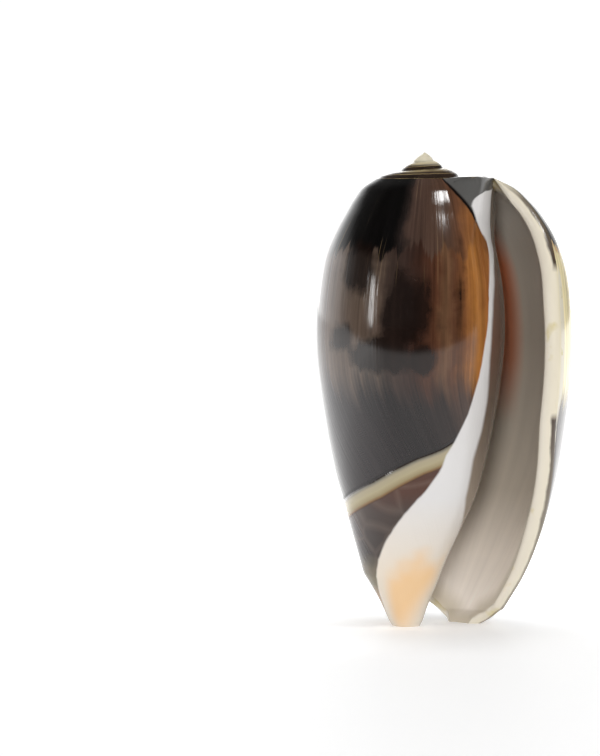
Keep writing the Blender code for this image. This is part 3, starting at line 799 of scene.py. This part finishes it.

# Matt white paper under the shell, in metres: rough, so it shows no highlight. It glows a little behind
# and beside the shell: painted light from an emitting floor, standing in for strongly lit paper. Beyond its
# front edge, below the picture, the glaze mirrors a dark table that the camera sees as white, so that the
# ground is pale from every side.
studio = {
    "floorSize": 60.0,
    "paperFront": -0.17,
    "worldStrength": 4.0,
    "surround": ((0.0, 0.015), (0.4, 0.03), (0.5, 0.12), (0.66, 0.5), (1.0, 0.8)),
    "diffuseLight": 0.085,
    "cameraWhite": 1.04,
    "paperGlow": 1.3,
    "leastGlow": 0.06,
    "glowSlopes": (-1.2, 0.3),
    "glowRange": (-0.02, 0.12),
    "seenTableGlow": 0.75,
    "white": "#f7f7f7",
    "tableDark": "#0c0c0c",
    "grainSize": 0.00111,  # paper fibres, drawn coarser than they are so that they show
}
paper, tree, _, spot = startMaterial("matt white paper sweep")
grain = addNode(tree, "ShaderNodeTexNoise", {"Vector": spot, "Scale": 1 / studio["grainSize"],
                                             "Detail": 2.0})
bump = addNode(tree, "ShaderNodeBump", {"Height": grain, "Distance": 0.00002})
inFront = addNode(tree, "ShaderNodeSeparateXYZ", {0: spot}, output="Y")
onPaper = addNode(tree, "ShaderNodeMapRange", {"Value": inFront, "From Min": studio["paperFront"] - 0.03,
                                               "From Max": studio["paperFront"]})
seen = addNode(tree, "ShaderNodeLightPath", output="Is Camera Ray")
pale = addNode(tree, "ShaderNodeMath", {0: onPaper, 1: seen}, operation="MAXIMUM")
beyond = addNode(tree, "ShaderNodeMath", {0: pale, 1: onPaper}, operation="SUBTRACT")
ink = addNode(tree, "ShaderNodeMix", {0: pale, 6: studio["tableDark"], 7: studio["white"]}, **mixing)
aside = addNode(tree, "ShaderNodeSeparateXYZ", {0: spot}, output="X")
leftward, rightward = (addNode(tree, "ShaderNodeMath", {0: aside, 1: slope}, operation="MULTIPLY")
                       for slope in studio["glowSlopes"])
aside = addNode(tree, "ShaderNodeMath", {0: leftward, 1: rightward}, operation="MAXIMUM")
behind = addNode(tree, "ShaderNodeMath", {0: inFront, 1: aside}, operation="ADD")
glowing = addNode(tree, "ShaderNodeMapRange",
                  {"Value": behind, "From Min": studio["glowRange"][0], "From Max": studio["glowRange"][1],
                   "To Min": studio["leastGlow"], "To Max": studio["paperGlow"]})
glowing = addNode(tree, "ShaderNodeMath", {0: glowing, 1: onPaper}, operation="MULTIPLY")
glowing = addNode(tree, "ShaderNodeMath", {0: beyond, 1: studio["seenTableGlow"], 2: glowing},
                  operation="MULTIPLY_ADD")
skin = addNode(tree, "ShaderNodeBsdfPrincipled", {
    "Base Color": ink, "Normal": bump, "Roughness": 0.6, "Emission Color": (1, 1, 1, 1),
    "Emission Strength": glowing})
addNode(tree, "ShaderNodeOutputMaterial", {"Surface": skin})
bpy.ops.object.select_all(action="DESELECT")
bpy.ops.mesh.primitive_circle_add(vertices=96, radius=studio["floorSize"] / 2, fill_type="NGON",
                                  location=(0, 0, 0))
floor = bpy.context.object
floor.name = "studio_floor"
floor.data.materials.append(paper)

# light from all round: brighter behind the shell and low down, and plain white to the camera
world = bpy.data.worlds.new("studio light")
bpy.context.scene.world = world
world.use_nodes = True
tree = world.node_tree
tree.nodes.clear()
way = addNode(tree, "ShaderNodeTexCoord", output="Generated")
way = addNode(tree, "ShaderNodeVectorMath", {0: way}, operation="NORMALIZE")
depth = addNode(tree, "ShaderNodeSeparateXYZ", {0: way}, output="Y")
lift = addNode(tree, "ShaderNodeSeparateXYZ", {0: way}, output="Z")
level = addNode(tree, "ShaderNodeValToRGB",
                {"Fac": addNode(tree, "ShaderNodeMapRange", {"Value": depth, "From Min": -1.0})},
                stops=studio["surround"])
side = addNode(tree, "ShaderNodeSeparateXYZ", {0: way}, output="X")
side = addNode(tree, "ShaderNodeMapRange", {"Value": side, "From Min": -0.1, "From Max": 0.4, "To Min": 1.0,
                                            "To Max": 0.08})
level = addNode(tree, "ShaderNodeVectorMath", {0: level, "Scale": side}, operation="SCALE")
lowDown = addNode(tree, "ShaderNodeMapRange", {"Value": lift, "From Min": 0.22, "From Max": 0.5,
                                               "To Min": 1.0, "To Max": 0.04})
level = addNode(tree, "ShaderNodeVectorMath", {0: level, "Scale": lowDown}, operation="SCALE")
for ray, amount in (("Is Diffuse Ray", studio["diffuseLight"]),
                    ("Is Camera Ray", studio["cameraWhite"] / studio["worldStrength"])):
    path = addNode(tree, "ShaderNodeLightPath", output=ray)
    level = addNode(tree, "ShaderNodeMix", {0: path, 6: level, 7: (amount, amount, amount, 1)}, **mixing)
glow = addNode(tree, "ShaderNodeBackground", {"Color": level, "Strength": studio["worldStrength"]})
addNode(tree, "ShaderNodeOutputWorld", {"Surface": glow})

# softboxes: name, size in metres, place (distance, azimuth from the front, where left is negative, and
# height angle), and watts
softboxes = (
    ("sideBox", (0.022, 0.13), (0.62, -54.0, 7.5), 0.22),
    ("keyBox", (0.15, 0.06), (0.6, 60.0, 51.5), 0.75),
    ("overheadFill", (0.40, 0.30), (0.75, 176.0, 80.0), 2.2),
    ("frontFill", (0.14, 0.30), (0.8, -6.0, 8.0), 2.3),
    ("rightFill", (0.30, 0.30), (0.8, 35.0, 30.0), 1.0),
)
for name, size, (distance, azimuth, height), watts in softboxes:
    turn, lift = math.radians(azimuth), math.radians(height)
    offset = Vector((math.sin(turn) * math.cos(lift), -math.cos(turn) * math.cos(lift),
                     math.sin(lift))) * distance
    bpy.ops.object.light_add(type="AREA", location=offset + Vector((0, 0, 0.025)))
    lamp = bpy.context.object
    lamp.name = name
    lamp.data.shape = "RECTANGLE"
    lamp.data.size, lamp.data.size_y = size
    lamp.data.energy = watts
    lamp.rotation_euler = (-offset).to_track_quat("-Z", "Y").to_euler()
    lamp.visible_glossy = not name.endswith("Fill")  # the fills light the shell and show no highlight
bpy.context.scene.view_settings.view_transform = "Standard"
print("lights placed")

# The camera stands level with the upper half, 0.38 m off; the frame is 80.3 mm high at the shell.
shot = {"place": (0.0, -0.38, 0.044), "target": (-0.0152, 0.0, 0.0261), "frameHeight": 0.0803,
        "sensor": 36.0}
bpy.ops.object.camera_add(location=shot["place"])
camera = bpy.context.object
aim = Vector(shot["target"]) - Vector(shot["place"])
camera.rotation_euler = aim.to_track_quat("-Z", "Y").to_euler()
camera.data.sensor_fit = "VERTICAL"
camera.data.sensor_height = shot["sensor"]
camera.data.lens = shot["sensor"] * aim.length / shot["frameHeight"]
camera.data.clip_start = 0.01
bpy.context.scene.camera = camera
print("camera set")
